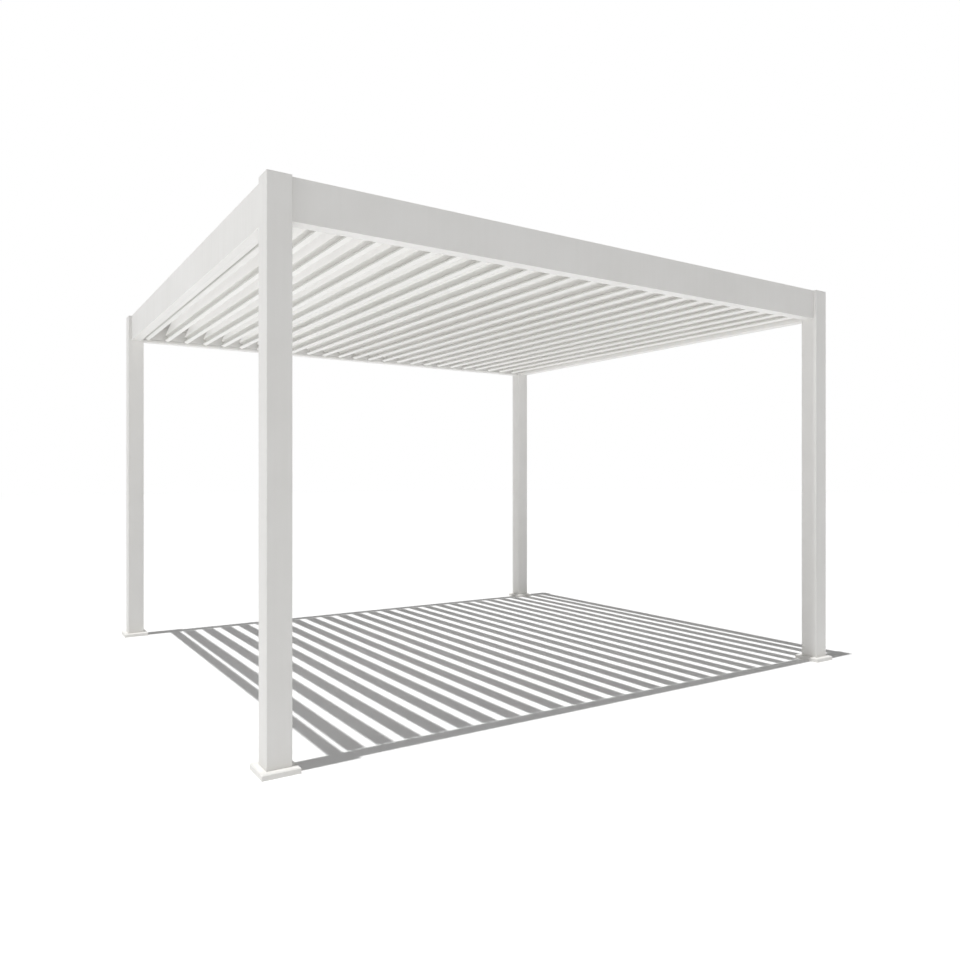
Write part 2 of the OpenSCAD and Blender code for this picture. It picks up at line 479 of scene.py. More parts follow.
def many_sided(radius: float, height: float, sides: int = 6, columns: int = 24) -> Array:
    """A loop shaped as a regular polygon.

    Its radius at the angle a is R cos(pi/n) / cos(d), where d is the angle from the nearest side's middle.

    Args:
        radius: distance of the polygon's corners from its middle.
        height: local Z of the loop.
        sides: number of sides.
        columns: points round the loop, a multiple of sides.

    Returns:
        One loop, shape (1, columns, 3).
    """
    a = np.arange(columns) * 2.0 * np.pi / columns
    wedge = 2.0 * np.pi / sides
    away = np.mod(a, wedge) - wedge / 2.0
    r = radius * math.cos(np.pi / sides) / np.cos(away)
    return np.stack([r * np.cos(a), r * np.sin(a), np.full(columns, height)], axis=-1)[None]


def socket_screw(radius: float, height: float, socket: float) -> Array:
    """Loops of a button-head screw with a hexagon socket, standing on the local XY plane.

    The head is a quarter ellipse, r = R cos a and h = H sin a, cut level at the socket, which goes down as a
    hexagonal hole to a third of the head's height.

    Args:
        radius: radius of the head.
        height: height of the head.
        socket: corner radius of the socket.

    Returns:
        Loops, shape (rows, 24, 3).
    """
    rim = 1.25 * socket
    a = np.linspace(0.0, math.acos(rim / radius), 5)
    dome = np.stack([radius * np.cos(a), height * np.sin(a)], axis=-1)
    top = float(dome[-1, 1])
    skirt = np.array([[radius, -0.3 * MM]])
    return np.concatenate(
        [revolve(np.concatenate([skirt, dome])), many_sided(socket, top), many_sided(socket, height / 3.0)]
    )


def hex_bolt(across: float, height: float, washer: float) -> Array:
    """Loops of a hexagon head on a washer, standing on the local XY plane.

    The washer is a flat ring 2 mm thick. The head's corners are cut back near its top, where the hexagon
    turns into a circle of its inner radius.

    Args:
        across: distance across the head's corners.
        height: height of the head above the washer.
        washer: radius of the washer.

    Returns:
        Loops, shape (rows, 24, 3).
    """
    thick, r = 2.0 * MM, across / 2.0
    edge = 0.3 * MM
    ring = np.array([[washer, 0.0], [washer, thick - edge], [washer - edge, thick], [r * 1.12, thick]])
    crown = revolve(np.array([[r * 0.86, thick + height], [r * 0.8, thick + height]]))
    sides = many_sided(r, thick), many_sided(r, thick + height * 0.86)
    return np.concatenate([revolve(ring), *sides, crown])


def stand(loops: Array, places: Array, axis: Array) -> Array:
    """Set copies of a shape at places with its local Z along an axis.

    A point (x, y, z) goes to P + x u + y v + z w, where w is the axis and u and v are square to it.

    Args:
        loops: the shape's loops, shape (rows, columns, 3).
        places: where each copy stands, shape (copies, 3).
        axis: unit direction of the shape's local Z.

    Returns:
        Loops, shape (copies, rows, columns, 3).
    """
    w = np.asarray(axis, dtype=float)
    u = np.cross([0.0, 0.0, 1.0] if abs(w[2]) < 0.9 else [1.0, 0.0, 0.0], w)
    u /= np.linalg.norm(u)
    turned = loops @ np.stack([u, np.cross(w, u), w])
    return np.asarray(places, dtype=float).reshape(-1, 1, 1, 3) + turned[None]


@dataclass
class Skin:
    """Closed surfaces gathered as arrays and written into one mesh."""

    points: list[Array] = field(default_factory=list)
    quads: list[Array] = field(default_factory=list)
    ends: list[Array] = field(default_factory=list)
    count: int = 0

    def add(self, loops: Array, ring: bool = False) -> "Skin":
        """Join rows of points into closed surfaces.

        Point j of row i joins point j + 1 and the same two points of row i + 1. Columns close on themselves.

        Args:
            loops: shape (rows, columns, 3), or (copies, rows, columns, 3) for copies.
            ring: True closes the last row on the first one. False closes both end rows with a flat face.

        Returns:
            The skin itself.
        """
        loops = loops.reshape(-1, *loops.shape[-3:])
        copies, rows, columns, _ = loops.shape
        index = self.count + np.arange(copies * rows * columns).reshape(copies, rows, columns)
        here, there = (index, np.roll(index, -1, axis=1)) if ring else (index[:, :-1], index[:, 1:])
        quad = np.stack([here, np.roll(here, -1, axis=2), np.roll(there, -1, axis=2), there], axis=-1)
        self.points.append(loops.reshape(-1, 3))
        self.quads.append(quad.reshape(-1, 4))
        if not ring:
            self.ends += [index[:, 0, ::-1], index[:, -1]]
        self.count += index.size
        return self

    def piece(
        self, name: str, slot: Slot, body: str = "frame", stands_for: tuple[str, ...] = ()
    ) -> Object:
        """Write the mesh, point its faces outwards and let it ride on its body.

        Args:
            name: the piece's name.
            slot: its material slot in the record, which names its finish.
            body: the body that it moves with.
            stands_for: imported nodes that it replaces.

        Returns:
            The finished object.
        """
        mesh = bpy.data.meshes.new(name)
        faces = np.concatenate(self.quads).tolist() + [f for rows in self.ends for f in rows.tolist()]
        mesh.from_pydata(np.concatenate(self.points).tolist(), [], faces)
        turn_outwards(mesh)
        mesh.materials.append(finish(slot))
        mesh.shade_smooth()
        mesh.set_sharp_from_angle(angle=SHARP_ANGLE)
        made = bpy.data.objects.new(name, mesh)
        bpy.context.scene.collection.objects.link(made)
        level = made.modifiers.new("flat_faces_stay_flat", "WEIGHTED_NORMAL")
        level.keep_sharp = True
        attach(made, body)
        if stands_for:
            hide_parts(*stands_for)
        LOG.info("%s: %d faces on %s", name, len(mesh.polygons), body)
        return made


def turn_outwards(mesh: bpy.types.Mesh) -> None:
    """Make every face of closed surfaces point outwards.

    Args:
        mesh: the mesh to correct in place.
    """
    work = bmesh.new()
    work.from_mesh(mesh)
    bmesh.ops.recalc_face_normals(work, faces=work.faces)
    work.to_mesh(mesh)
    work.free()


def node_box(node: str) -> tuple[Array, Array]:
    """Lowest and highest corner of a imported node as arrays."""
    low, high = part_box(node)
    return np.array(low), np.array(high)


# -------------------- Sub-assemblies --------------------


@dataclass
class Post:
    """A square post: its tube, its cap, its foot plate with anchors and its two-part foot cover."""

    corner: Corner
    edge: float = 3.0 * MM
    groove_width: float = 1.2 * MM
    groove_depth: float = 0.8 * MM
    groove_from_edge: float = 12.0 * MM
    groove_edge: float = 0.15 * MM
    lid: float = 3.0 * MM
    joint_line: float = 0.6 * MM
    plug_gap: float = 3.0 * MM
    anchor_reach: float = 68.0 * MM
    cover_wall: float = 2.0 * MM
    cover_slope: float = 5.0 * MM
    cover_slit: float = 0.4 * MM
    cover_gap: float = 0.5 * MM
    cover_edge: float = 3.0 * MM
    bolt: Vec3 = (17.6 * MM, 6.4 * MM, 9.5 * MM)
    shank: float = 4.9 * MM
    shank_depth: float = 7.6 * MM
    bead: float = 2.2 * MM
    bead_swell: float = 0.2 * MM
    bead_step: float = 4.0 * MM
    half_side: float = field(init=False)
    middle: Array = field(init=False)

    def __post_init__(self) -> None:
        """Read the post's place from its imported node."""
        low, high = node_box(f"post_{self.corner.label}")
        self.half_side = float(high[0] - low[0]) / 2.0
        self.middle = np.append((low + high)[:2] / 2.0, 0.0)

    def tube(self) -> Object:
        """The extruded tube, with two fine joint lines of the snap-in strip on each inner face.

        The outline is a rounded square cut by V grooves, mirrored so that the grooves face the covered space,
        and it is carried straight up.

        Returns:
            The tube.
        """
        h, w, d = self.half_side, self.groove_width / 2, self.groove_depth
        g = h - self.groove_from_edge
        notch = np.array([[h, -w], [h - d, 0.0], [h, w]])
        side = np.concatenate([[[h, -h]], notch - [0.0, g], notch + [0.0, g]])
        across = np.stack([-side[:, 1], side[:, 0]], axis=-1)
        corners = np.concatenate([[[-h, -h]], side, across, [[-h, h]]])
        radii = np.full(len(corners), self.groove_edge)
        radii[[0, 1, 8, 15]] = self.edge
        outline = rounded_outline(corners, radii, steps=7) * -np.array(self.corner.value)
        low, high = node_box(f"post_{self.corner.label}")
        heights = np.array([low[2], high[2] - self.joint_line])
        loops = lifted(np.broadcast_to(outline, (2, *outline.shape)), heights[:, None, None])
        name = f"post_{self.corner.label}"
        skin = Skin().add(loops + self.middle)
        return skin.piece(f"{name}_tube", Slot.FRAME, stands_for=(name,))

    def cap(self) -> Object:
        """The cast cap: a plug inside the tube, a lid with soft edges and a very low crown.

        Each row is a rounded square whose half side and height follow the cap's outline from plug to crown.

        Returns:
            The cap.
        """
        top = node_box(f"post_cap_{self.corner.label}")[1][2]
        h, plug = self.half_side, self.half_side - self.plug_gap
        rows = np.array([
            [plug - 1.0 * MM, top - 17.0 * MM], [plug, top - 16.0 * MM], [plug, top - self.lid],
            [h - 0.5 * MM, top - self.lid], [h, top - self.lid + 0.4 * MM], [h, top - 1.5 * MM],
            [h - 0.3 * MM, top - 0.9 * MM], [h - 0.9 * MM, top - 0.5 * MM],
            [h - 8.0 * MM, top - 0.35 * MM], [h * 0.5, top - 0.1 * MM], [h * 0.2, top],
        ])
        radius = np.minimum(self.edge + np.maximum(rows[:, 0] - h, 0.0), rows[:, 0] * 0.9)
        loops = lifted(rounded_square(rows[:, 0], radius, steps=7), rows[:, 1, None, None])
        name = f"post_cap_{self.corner.label}"
        skin = Skin().add(loops + self.middle)
        return skin.piece(f"{name}_lid", Slot.CAP, stands_for=(name,))

    def foot_cover(self) -> list[Object]:
        """The two halves of the cover that hides the foot plate.

        The section of the wall, with its slope and soft edges, is a closed outline of half side and height.
        It is carried along half a rounded square, mitred at the corners, and the halves stop short of each
        other.

        Returns:
            The two halves.
        """
        node = f"foot_cover_{self.corner.label}"
        low, high = node_box(node)
        out, tall, inner = float(high[0] - low[0]) / 2.0, float(high[2]), self.half_side + self.cover_gap
        wall, slope = self.cover_wall, self.cover_slope
        corners = np.array([
            [out - wall, 0.0], [out, 0.0], [out, tall - slope], [out - slope, tall],
            [inner, tall], [inner, tall - wall], [out - slope - wall * 0.4, tall - wall],
            [out - wall, tall - slope - wall * 0.4],
        ])
        section = rounded_outline(corners, np.array([0.4, 0.4, 1.2, 1.2, 0.7, 0.5, 0.6, 0.6]) * MM, steps=5)
        radius = np.maximum(section[:, 0] - out + self.cover_edge, 0.3 * MM)
        path = rounded_square(section[:, 0], radius, steps=6, part=0.5)
        path[:, 0, 1] += self.cover_slit / 2
        path[:, -1, 1] += self.cover_slit / 2
        loops = lifted(np.swapaxes(path, 0, 1), section[None, :, 1:])
        halves = []
        for way, sign in (("back", 1.0), ("front", -1.0)):
            made = Skin().add(loops * [1.0, sign, 1.0] + self.middle)
            name = f"{node}_{way}_half"
            halves.append(made.piece(name, Slot.FRAME, stands_for=(node,)))
        return halves

    def anchors(self) -> Object:
        """Four anchor bolts with washers on the foot plate, their shanks down in the plate's holes."""
        top = node_box(f"foot_plate_{self.corner.label}")[1][2]
        signs = np.array([[-1, -1, 0], [1, -1, 0], [1, 1, 0], [-1, 1, 0]])
        places = self.middle + signs * self.anchor_reach + [0.0, 0.0, top]
        shank = revolve(np.array([[self.shank, -self.shank_depth], [self.shank, 0.5 * MM]]))
        skin = Skin().add(stand(hex_bolt(*self.bolt), places, UP)).add(stand(shank, places, UP))
        return skin.piece(f"anchor_bolts_{self.corner.label}", Slot.FIXING)

    def weld(self) -> Object:
        """The fillet weld between the tube and the foot plate.

        Its bead is a circle carried along the rounded square of the tube's foot. Its radius swells by a tenth
        as a sine of the distance along the path, once every 4 mm, which gives the scales of a hand weld.

        Returns:
            The weld bead.
        """
        top = node_box(f"foot_plate_{self.corner.label}")[1][2]
        path = rounded_square(np.array([self.half_side]), np.array([self.edge]), steps=4)[0]
        edge = np.roll(path, -1, axis=0) - path
        length = np.concatenate([[0.0], np.cumsum(np.linalg.norm(edge, axis=1))])
        along = np.linspace(0.0, length[-1], 441)[:-1]
        closed = np.concatenate([path, path[:1]])
        line = np.stack([np.interp(along, length, closed[:, i]) for i in (0, 1)], axis=-1)
        heading = np.roll(line, -1, axis=0) - np.roll(line, 1, axis=0)
        heading /= np.linalg.norm(heading, axis=1, keepdims=True)
        side = np.stack([heading[:, 1], -heading[:, 0]], axis=-1)
        a = np.arange(8) * np.pi / 4
        r = self.bead + self.bead_swell * np.sin(along / self.bead_step * 2 * np.pi)
        flat = line[:, None] + side[:, None] * (r[:, None] * np.cos(a))[..., None]
        loops = lifted(flat, (top + r[:, None] * np.sin(a))[..., None])
        name = f"weld_{self.corner.label}"
        return Skin().add(loops + self.middle, ring=True).piece(name, Slot.PLATE)

    def build(self) -> list[Object]:
        """Build every piece of the post."""
        return [self.tube(), self.cap(), *self.foot_cover(), self.anchors(), self.weld()]


@dataclass
class RingBeam:
    """One beam of the roof ring: a closed box with an inner gutter, its end gaskets and its corner screws."""

    side: Side
    box: float = 38.0 * MM
    gutter: float = 29.0 * MM
    lip: float = 3.0 * MM
    lip_height: float = 17.0 * MM
    floor: float = 2.5 * MM
    joint_line: float = 0.5 * MM
    gasket: float = 1.5 * MM
    gasket_inset: float = 1.2 * MM
    screw_heights: tuple[float, float] = (62.0 * MM, 142.0 * MM)
    screw_from_end: float = 32.0 * MM
    screw: Vec3 = (6.5 * MM, 3.8 * MM, 2.6 * MM)
    origin: Array = field(init=False)
    inward: Array = field(init=False)
    along: Array = field(init=False)
    half_length: float = field(init=False)
    height: float = field(init=False)

    def __post_init__(self) -> None:
        """Read the beam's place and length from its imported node."""
        low, high = node_box(f"beam_{self.side.label}")
        self.inward = np.array([*self.side.value, 0.0])
        self.along = np.abs(np.array([self.inward[1], self.inward[0], 0.0]))
        outer = np.where(self.inward > 0, low, high)
        self.origin = np.where(self.inward != 0, outer, (low + high) / 2.0)
        self.origin[2] = low[2]
        self.half_length = float(((high - low) * self.along).sum()) / 2.0
        self.height = float(high[2] - low[2])

    def at(self, section: Array, along: Array) -> Array:
        """Carry section points to these distances along the beam."""
        return carried(section, self.origin, self.inward, self.along, along)

    def profile(self) -> Object:
        """The extrusion, with soft edges and the fine joint line between box and gutter underneath.

        Returns:
            The beam.
        """
        wide, tall, line = self.box + self.gutter + self.lip, self.height, self.joint_line
        corners = np.array([
            [0.0, 0.0], [self.box - line, 0.0], [self.box, line], [self.box + line, 0.0],
            [wide, 0.0], [wide, self.lip_height], [wide - self.lip, self.lip_height],
            [wide - self.lip, self.floor], [self.box, self.floor], [self.box, tall],
            [0.0, tall],
        ])
        radii = np.array([2.0, 0.15, 0.15, 0.15, 1.6, 1.2, 1.2, 1.0, 1.0, 1.6, 2.0]) * MM
        outline = rounded_outline(corners, radii, steps=6)
        ends = np.array([-1.0, 1.0]) * (self.half_length - self.gasket)
        name = f"beam_{self.side.label}"
        skin = Skin().add(self.at(outline, ends))
        return skin.piece(f"{name}_extrusion", Slot.FRAME, stands_for=(name,))

    def gaskets(self) -> Object:
        """Thin gaskets between the beam's ends and the posts, set back from the beam's faces. Their dark rubber
        is partly painted shade for the shadow line where the beam meets the post.
        """
        inset = self.gasket_inset
        corners = rectangle(inset, inset, self.box - inset, self.height - inset)
        outline = rounded_outline(corners, np.full(4, 1.5 * MM), steps=4)
        skin = Skin()
        for sign in (-1.0, 1.0):
            ends = sign * (self.half_length - np.array([self.gasket + 0.2 * MM, 0.0]))
            skin.add(self.at(outline, ends))
        return skin.piece(f"beam_gaskets_{self.side.label}", Slot.GASKET)

    def screws(self) -> Object:
        """Button-head screws on the inner wall that hold the beam to its corner keys."""
        reach = self.half_length - self.screw_from_end
        along, up = np.meshgrid([-reach, reach], self.screw_heights)
        places = self.origin + self.inward * self.box + along.reshape(-1, 1) * self.along
        places = places + up.reshape(-1, 1) * UP
        skin = Skin().add(stand(socket_screw(*self.screw), places, self.inward))
        return skin.piece(f"beam_screws_{self.side.label}", Slot.FIXING)

    def build(self) -> list[Object]:
        """Build every piece of the beam."""
        return [self.profile(), self.gaskets(), self.screws()]


@dataclass
class PivotRail:
    """The dressing of one pivot rail: bushes in its pin holes, its brackets' screws and its drip apron."""

    side: Side
    pivots: Array
    hole: float = 6.15 * MM
    flange: float = 10.0 * MM
    flange_thick: float = 2.0 * MM
    tail: float = 8.4 * MM
    thick: float = 6.0 * MM
    apron_wall: float = 1.2 * MM
    apron_reach: float = 21.0 * MM
    apron_top: float = 20.0 * MM
    apron_fold: float = 7.0 * MM
    apron_fall: float = 5.5 * MM
    apron_hem: float = 4.0 * MM
    bracket_count: int = 6
    screw_below_top: float = 12.0 * MM
    screw_spread: float = 8.0 * MM
    screw: Vec3 = (4.6 * MM, 2.6 * MM, 1.9 * MM)

    @property
    def inward(self) -> Array:
        """The way from the rail to the covered space."""
        return np.array([*self.side.value, 0.0])

    def faces(self) -> Vec3:
        """Y of the rail's inner face, and of its outer one, and the way inwards as a sign."""
        low, high = node_box(f"pivot_rail_{self.side.label}")
        way = float(self.side.value[1])
        inner = float(high[1] if way > 0 else low[1])
        return inner, inner - way * self.thick, way

    def bushes(self) -> Object:
        """Flanged nylon bushes in the rail's holes.

        The section of a bush is a closed outline of radius and height, turned round the pin's axis.

        Returns:
            All bushes of the rail.
        """
        inner, outer, _ = self.faces()
        deep = abs(inner - outer) + 1.0 * MM
        corners = np.array([
            [self.hole, -deep], [self.tail, -deep], [self.tail, -deep + 1.0 * MM],
            [self.hole + 0.4 * MM, -deep + 1.0 * MM], [self.hole + 0.4 * MM, 0.0],
            [self.flange, 0.0], [self.flange, self.flange_thick],
            [self.hole, self.flange_thick],
        ])
        radii = np.array([0.2, 0.3, 0.2, 0.1, 0.1, 0.3, 0.6, 0.4]) * MM
        section = rounded_outline(corners, radii, steps=3)
        places = np.stack([self.pivots[:, 0], np.full(len(self.pivots), inner), self.pivots[:, 2]], axis=-1)
        skin = Skin().add(stand(revolve(section, 24), places, self.inward), ring=True)
        return skin.piece(f"pivot_bushes_{self.side.label}", Slot.BUSH)

    def screws(self) -> Object:
        """Two button-head screws through the rail into each bracket."""
        low, high = node_box(f"pivot_rail_{self.side.label}")
        inner = self.faces()[0]
        step = (high[0] - low[0]) / self.bracket_count
        middles = low[0] + (np.arange(self.bracket_count) + 0.5) * step
        x = (middles[:, None] + np.array([-self.screw_spread, self.screw_spread])).reshape(-1)
        up = np.full(len(x), high[2] - self.screw_below_top)
        places = np.stack([x, np.full(len(x), inner), up], axis=-1)
        skin = Skin().add(stand(socket_screw(*self.screw), places, self.inward))
        return skin.piece(f"rail_screws_{self.side.label}", Slot.FIXING)

    def apron(self) -> Object:
        """The folded sheet on the rail's outer face that leads rain over the gutter's lip.

        Its outline has a leg on the rail, a leg that falls outwards past the lip and a hem that turns down
        into the gutter, all of one wall. It is carried straight along the rail.

        Returns:
            The apron.
        """
        low, high = node_box(f"pivot_rail_{self.side.label}")
        outer = self.faces()[1]
        wall, reach, fold = self.apron_wall, self.apron_reach, self.apron_fold
        edge = fold - self.apron_fall
        corners = np.array([
            [0.0, self.apron_top], [0.0, fold], [reach, edge], [reach, edge - self.apron_hem],
            [reach + wall, edge - self.apron_hem], [reach + wall, edge + wall],
            [wall, fold + wall], [wall, self.apron_top],
        ])
        radii = np.array([0.2, 1.6, 1.6, 0.2, 0.2, 0.5, 0.5, 0.2]) * MM
        outline = rounded_outline(corners, radii, steps=4)
        ends = np.array([low[0], high[0]]) + np.array([1.0, -1.0]) * wall
        start = np.array([0.0, outer, low[2]])
        loops = carried(outline, start, -self.inward, np.array([1.0, 0.0, 0.0]), ends)
        return Skin().add(loops).piece(f"drip_apron_{self.side.label}", Slot.FRAME)

    def build(self) -> list[Object]:
        """Coat the rail and build its bushes, its screws and its apron."""
        coat(f"pivot_rail_{self.side.label}", Slot.FRAME)
        return [self.bushes(), self.screws(), self.apron()]


@dataclass
class Louvre:
    """One turning louvre: extruded blade with rain channel and tongue, end caps, pins and seal."""

    name: str
    pivot: Array
    pitch: float
    angle: float = math.radians(68.0)
    lap: float = 18.5 * MM
    blade: float = 20.0 * MM
    wall: float = 1.6 * MM
    channel_width: float = 38.0 * MM
    channel_depth: float = 40.0 * MM
    channel_top: float = 8.0 * MM
    tongue: float = 2.5 * MM
    tongue_drop: float = 16.0 * MM
    blade_gap: float = 7.0 * MM
    pivot_inset: float = 13.0 * MM
    pin: float = 6.0 * MM
    pin_reach: float = 16.0 * MM
    rail_back: float = 13.0 * MM
    end_cap: float = 1.5 * MM
    screw: Vec3 = (3.6 * MM, 2.0 * MM, 1.5 * MM)
    screw_inset: float = 9.0 * MM
    screw_shift: float = 16.0 * MM
    clip_thick: float = 1.2 * MM
    chamfer: float = 0.6 * MM
    seal_side: float = 0.55 * MM
    seal_drop: float = 14.0 * MM
    seal_top: float = 1.6 * MM

    @property
    def half_length(self) -> float:
        """Half the length of the blade, which is the node's half length less the pin."""
        low, high = node_box(self.name)
        return float(high[1] - low[1]) / 2.0 - self.pin_reach

    def at(self, section: Array, along: Array) -> Array:
        """Carry section points to the louvre's place.

        The section is shifted so that the pivot is its origin, turned by the opening angle t about the Y
        axis, x' = x cos t - z sin t and z' = x sin t + z cos t, and then moved to the pivot.

        Args:
            section: points, shape (..., 2).
            along: Y of each point, in the same shape or one that spreads to it.

        Returns:
            Points, shape (..., 3).
        """
        x = section[..., 0] - self.channel_width - self.pivot_inset
        z = section[..., 1] + self.blade / 2.0
        c, s = math.cos(self.angle), math.sin(self.angle)
        y = np.broadcast_to(along, x.shape)
        return np.stack([x * c - z * s + self.pivot[0], y, x * s + z * c + self.pivot[2]], axis=-1)

    def run(self, outline: Array, reach: float) -> Array:
        """The outline at both ends of a straight run that reaches this far each way."""
        return self.at(np.broadcast_to(outline, (2, *outline.shape)), np.array([[-reach], [reach]]))

    def extrusion(self) -> Object:
        """The extruded blade with its rain channel and its tongue.

        Its outline, walked anticlockwise from the channel's outer wall, has a soft radius at every corner and
        is carried straight from end to end.

        Returns:
            The blade.
        """
        end, tip = self.pitch - self.blade_gap, self.pitch + self.lap
        deep, wall, wide = self.channel_depth, self.wall, self.channel_width
        corners = np.array([
            [0.0, -self.channel_top], [0.0, -deep], [wide + wall, -deep],
            [wide + wall, -self.blade], [end, -self.blade], [end, -self.tongue],
            [tip - self.tongue, -self.tongue], [tip - self.tongue, -self.tongue_drop],
            [tip, -self.tongue_drop], [tip, 0.0], [wide, 0.0], [wide, -deep + wall],
            [wall, -deep + wall], [wall, -self.channel_top],
        ])
        radii = np.array([0.7, 1.8, 1.2, 1.2, 1.6, 0.8, 0.8, 1.1, 1.1, 1.8, 1.2, 0.8, 0.8, 0.7]) * MM
        outline = rounded_outline(corners, radii, steps=5)
        skin = Skin().add(self.run(outline, self.half_length))
        return skin.piece(f"{self.name}_blade", Slot.LOUVRE, self.name, (self.name,))

    def end_caps(self) -> Object:
        """The caps that close the hollow blade, each with a round boss about its pin.

        A cap's rows are the blade's outline, drawn in a little, then drawn in again over its soft edge. The
        boss is a closed ring section turned round the pin.

        Returns:
            The two caps of the louvre.
        """
        skin = Skin()
        left, right = self.channel_width, self.pitch - self.blade_gap
        rows = np.array([[0.5, -0.4], [0.5, 0.9], [0.7, 1.3], [1.2, self.end_cap / MM]]) * MM
        boss = np.array([[6.02, 1.2], [10.0, 1.2], [10.0, 2.3], [9.6, 2.7], [6.4, 2.7], [6.02, 2.4]]) * MM
        for sign in (-1.0, 1.0):
            loops = []
            for inset, out in rows:
                box = rectangle(left + inset, inset - self.blade, right - inset, -inset)
                outline = rounded_outline(box, np.full(4, 1.6 * MM), steps=5)
                loops.append(self.at(outline, np.full(len(outline), sign * (self.half_length + out))))
            skin.add(np.stack(loops))
            place = self.pivot * [1.0, 0.0, 1.0] + [0.0, sign * self.half_length, 0.0]
            skin.add(stand(revolve(boss, 24), place, np.array([0.0, sign, 0.0])), ring=True)
        return skin.piece(f"{self.name}_end_caps", Slot.CAP, self.name)

    def fixings(self) -> Object:
        """The pivot pins, their clips behind the rail, and the screws of the end caps.

        A pin is a profile of radius and height turned round its axis, with a chamfered tip and a groove for
        the clip, whose section is a closed outline turned the same way.

        Returns:
            The steel pieces of the louvre.
        """
        groove, tip, low = self.rail_back + 0.5 * MM, self.pin_reach, self.pin - 0.7 * MM
        pin = np.array([
            [self.pin, -1.0 * MM], [self.pin, groove], [low, groove],
            [low, groove + self.clip_thick], [self.pin, groove + self.clip_thick],
            [self.pin, tip - self.chamfer], [self.pin - self.chamfer, tip],
        ])
        clip = np.array([[5.4, 0.1], [8.6, 0.1], [8.8, 0.3], [8.8, 0.9], [8.6, 1.1], [5.4, 1.1]]) * MM
        clip[:, 1] += groove
        left, right = self.channel_width + self.screw_inset, self.pitch - self.blade_gap - self.screw_inset
        spots = np.array([[left + self.screw_shift, -self.blade / 2], [right, -self.blade / 2]])
        head = socket_screw(*self.screw)
        skin = Skin()
        for sign in (-1.0, 1.0):
            way = np.array([0.0, sign, 0.0])
            place = self.pivot * [1.0, 0.0, 1.0] + way * self.half_length
            skin.add(stand(revolve(pin, 24), place, way))
            skin.add(stand(revolve(clip, 24), place, way), ring=True)
            skin.add(stand(head, self.at(spots, sign * (self.half_length + self.end_cap)), way))
        return skin.piece(f"{self.name}_fixings", Slot.FIXING, self.name)

    def seal(self) -> Object:
        """The soft seal on the channel's outer wall, round at its top, where the next louvre closes."""
        side, top = self.seal_side, self.seal_top - self.channel_top
        corners = rectangle(-side, -self.seal_drop, self.wall + side, top)
        outline = rounded_outline(corners, np.array([0.4, 0.4, 1.25, 1.25]) * MM, steps=6)
        skin = Skin().add(self.run(outline, self.half_length - 1.0 * MM))
        return skin.piece(f"{self.name}_seal", Slot.SEAL, self.name)

    def build(self) -> list[Object]:
        """Build every piece of the louvre."""
        return [self.extrusion(), self.end_caps(), self.fixings(), self.seal()]


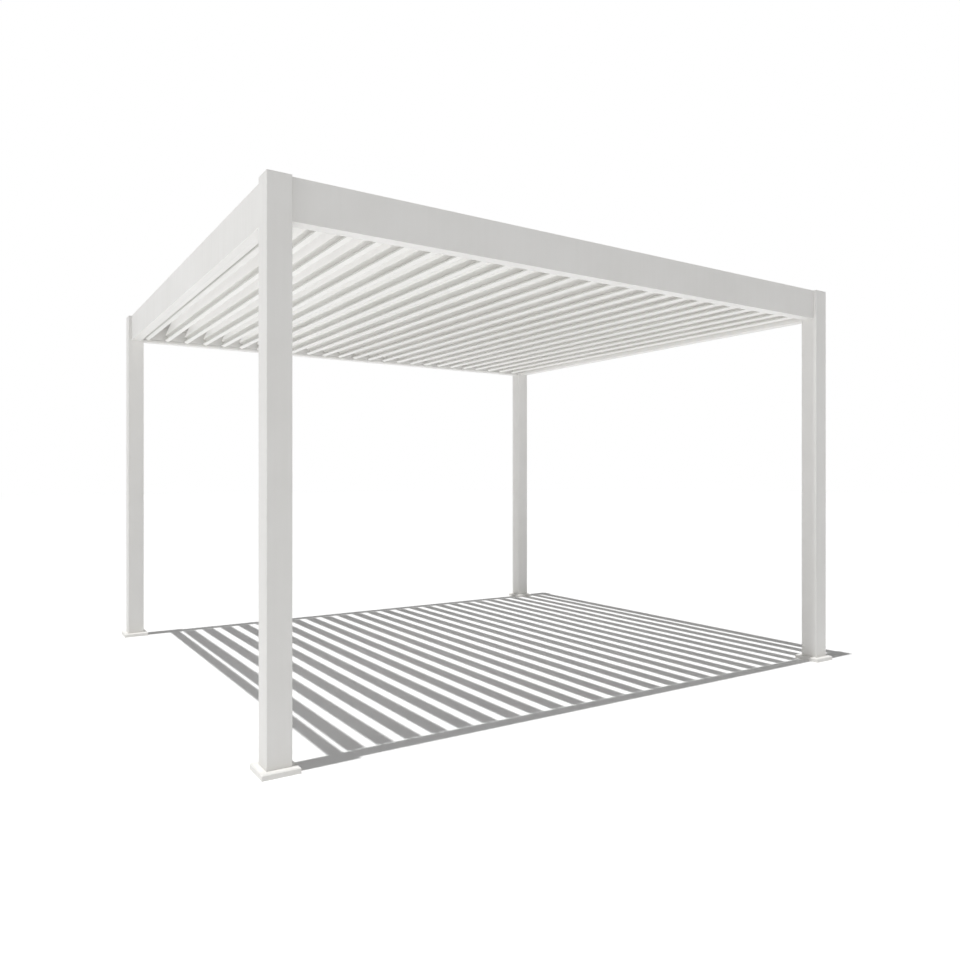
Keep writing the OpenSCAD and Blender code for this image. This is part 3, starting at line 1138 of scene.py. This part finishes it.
@dataclass
class Studio:
    """The plain pale floor, the daylight studio and the camera."""

    floor_half: float = 60.0
    floor_colour: str = "#FAFAFA"
    floor_mottle: str = "#F7F7F7"
    mottle_mm: float = 700.0
    sun_strength: float = 2.72
    sun_travel: Vec3 = (0.125, 0.0, -1.0)
    sun_angle: float = math.radians(0.5)
    sky_strength: float = 0.21
    box_width: float = 7.0
    fill_height: float = 3.5
    fill_strength: float = 80.0
    fill_travel: Vec3 = (1.0, 0.15, -0.12)
    fill_place: Vec3 = (-8.0, -2.0, 2.6)
    front_height: float = 1.6
    front_strength: float = 31.0
    front_travel: Vec3 = (0.1, 1.0, 0.12)
    front_place: Vec3 = (-1.0, -9.0, 0.9)
    lens: float = 29.15
    eye: Vec3 = (-2.929, -4.910, 1.227)
    heading: float = -0.5765

    def floor(self) -> Object:
        """A level floor of pale matt paint, which keeps the roof's striped shadow.

        Returns:
            The floor.
        """
        made, tree, place = new_material("pale_matt_floor_paint")
        mottle = add_node(tree, "TexNoise", {"Scale": per_metre(self.mottle_mm)}, {"Vector": place})
        paints = {"A": linear(self.floor_colour), "B": linear(self.floor_mottle)}
        colour = add_node(tree, "Mix", paints, {"Factor": (mottle, "Fac")}, data_type="RGBA")
        matt = {"Roughness": 1.0, "Specular IOR Level": 0.0}
        set_shader(tree, matt, {"Base Color": (colour, "Result")})
        h = self.floor_half
        mesh = bpy.data.meshes.new("studio_floor")
        mesh.from_pydata([(-h, -h, 0.0), (h, -h, 0.0), (h, h, 0.0), (-h, h, 0.0)], [], [(0, 1, 2, 3)])
        mesh.materials.append(made)
        plane = bpy.data.objects.new("studio_floor", mesh)
        bpy.context.scene.collection.objects.link(plane)
        return plane

    def sky(self) -> None:
        """An even pale sky that lights softly and shows as white behind the object and in its reflections."""
        world = bpy.data.worlds.new("studio_sky")
        world.use_nodes = True
        tree = world.node_tree
        tree.nodes.clear()
        ray = add_node(tree, "LightPath")
        both = {0: (ray, "Is Camera Ray"), 1: (ray, "Is Glossy Ray")}
        seen = add_node(tree, "Math", links=both, operation="MAXIMUM")
        both = {0: (seen, "Value"), 1: (ray, "Is Transmission Ray")}
        clear = add_node(tree, "Math", links=both, operation="MAXIMUM")
        plain = {"Color": (1.0, 1.0, 1.0, 1.0)}
        light = add_node(tree, "Background", plain | {"Strength": self.sky_strength})
        white = add_node(tree, "Background", plain | {"Strength": 1.0})
        parts = {0: (clear, "Value"), 1: (light, 0), 2: (white, 0)}
        mix = add_node(tree, "MixShader", links=parts)
        add_node(tree, "OutputWorld", links={"Surface": (mix, 0)})
        bpy.context.scene.world = world

    def lamp(
        self, name: str, kind: str, travel: Vec3, place: Vec3 = (0.0, 0.0, 0.0), **settings: object
    ) -> None:
        """Hang one lamp.

        Args:
            name: the lamp's name.
            kind: Blender's kind of light.
            travel: the way its light goes.
            place: where it hangs.
            settings: properties of the light.
        """
        light = bpy.data.lights.new(name, kind)
        for key, value in settings.items():
            setattr(light, key, value)
        hung = bpy.data.objects.new(name, light)
        hung.location = place
        hung.rotation_euler = Vector(travel).to_track_quat("-Z", "Y").to_euler()
        bpy.context.scene.collection.objects.link(hung)

    def lamps(self) -> None:
        """A high sun that draws the striped shadow, and broad soft boxes at the left and in front."""
        self.lamp("sun", "SUN", self.sun_travel, energy=self.sun_strength, angle=self.sun_angle)
        wide = {"shape": "RECTANGLE", "size": self.box_width}
        tall = {"size_y": self.fill_height, "energy": self.fill_strength}
        self.lamp("left_soft_box", "AREA", self.fill_travel, self.fill_place, **wide, **tall)
        tall = {"size_y": self.front_height, "energy": self.front_strength}
        self.lamp("front_soft_box", "AREA", self.front_travel, self.front_place, **wide, **tall)

    def camera(self) -> None:
        """A level camera at standing chest height, off the front left corner."""
        lens = bpy.data.cameras.new("camera")
        lens.lens, lens.sensor_width, lens.shift_y = self.lens, 36.0, -0.001
        eye = bpy.data.objects.new("camera", lens)
        eye.location, eye.rotation_euler = self.eye, (math.pi / 2, 0.0, self.heading)
        bpy.context.scene.collection.objects.link(eye)
        bpy.context.scene.camera = eye

    def build(self) -> None:
        """Build the floor, the light and the camera."""
        self.floor()
        self.sky()
        self.lamps()
        self.camera()
        bpy.context.scene.view_settings.view_transform = "Standard"


def pivot_points() -> tuple[list[str], Array]:
    """Names and pivots of the louvres, in order along X.

    Returns:
        The louvre names and their pivot points, shape (n, 3).
    """
    joints = sorted(frame["record"]["behaviour"]["joints"], key=lambda j: j["child"])
    return [j["child"] for j in joints], np.array([j["pos_m"] for j in joints], dtype=float)


def main() -> None:
    """Build the cover in order, from its feet to its louvres."""
    logging.basicConfig(level=logging.INFO, format="%(name)s: %(message)s")
    Studio().build()
    made: list[Object] = []
    for corner in Corner:
        coat(f"foot_plate_{corner.label}", Slot.PLATE)
        made += Post(corner).build()
    for side in Side:
        made += RingBeam(side).build()
    names, pivots = pivot_points()
    pitch = float(np.diff(pivots[:, 0]).mean())
    for side in (Side.FRONT, Side.BACK):
        made += PivotRail(side, pivots).build()
    for name, pivot in zip(names, pivots):
        made += Louvre(name, pivot, pitch).build()
    LOG.info("%d new pieces", len(made))


if __name__ == "__main__":
    main()
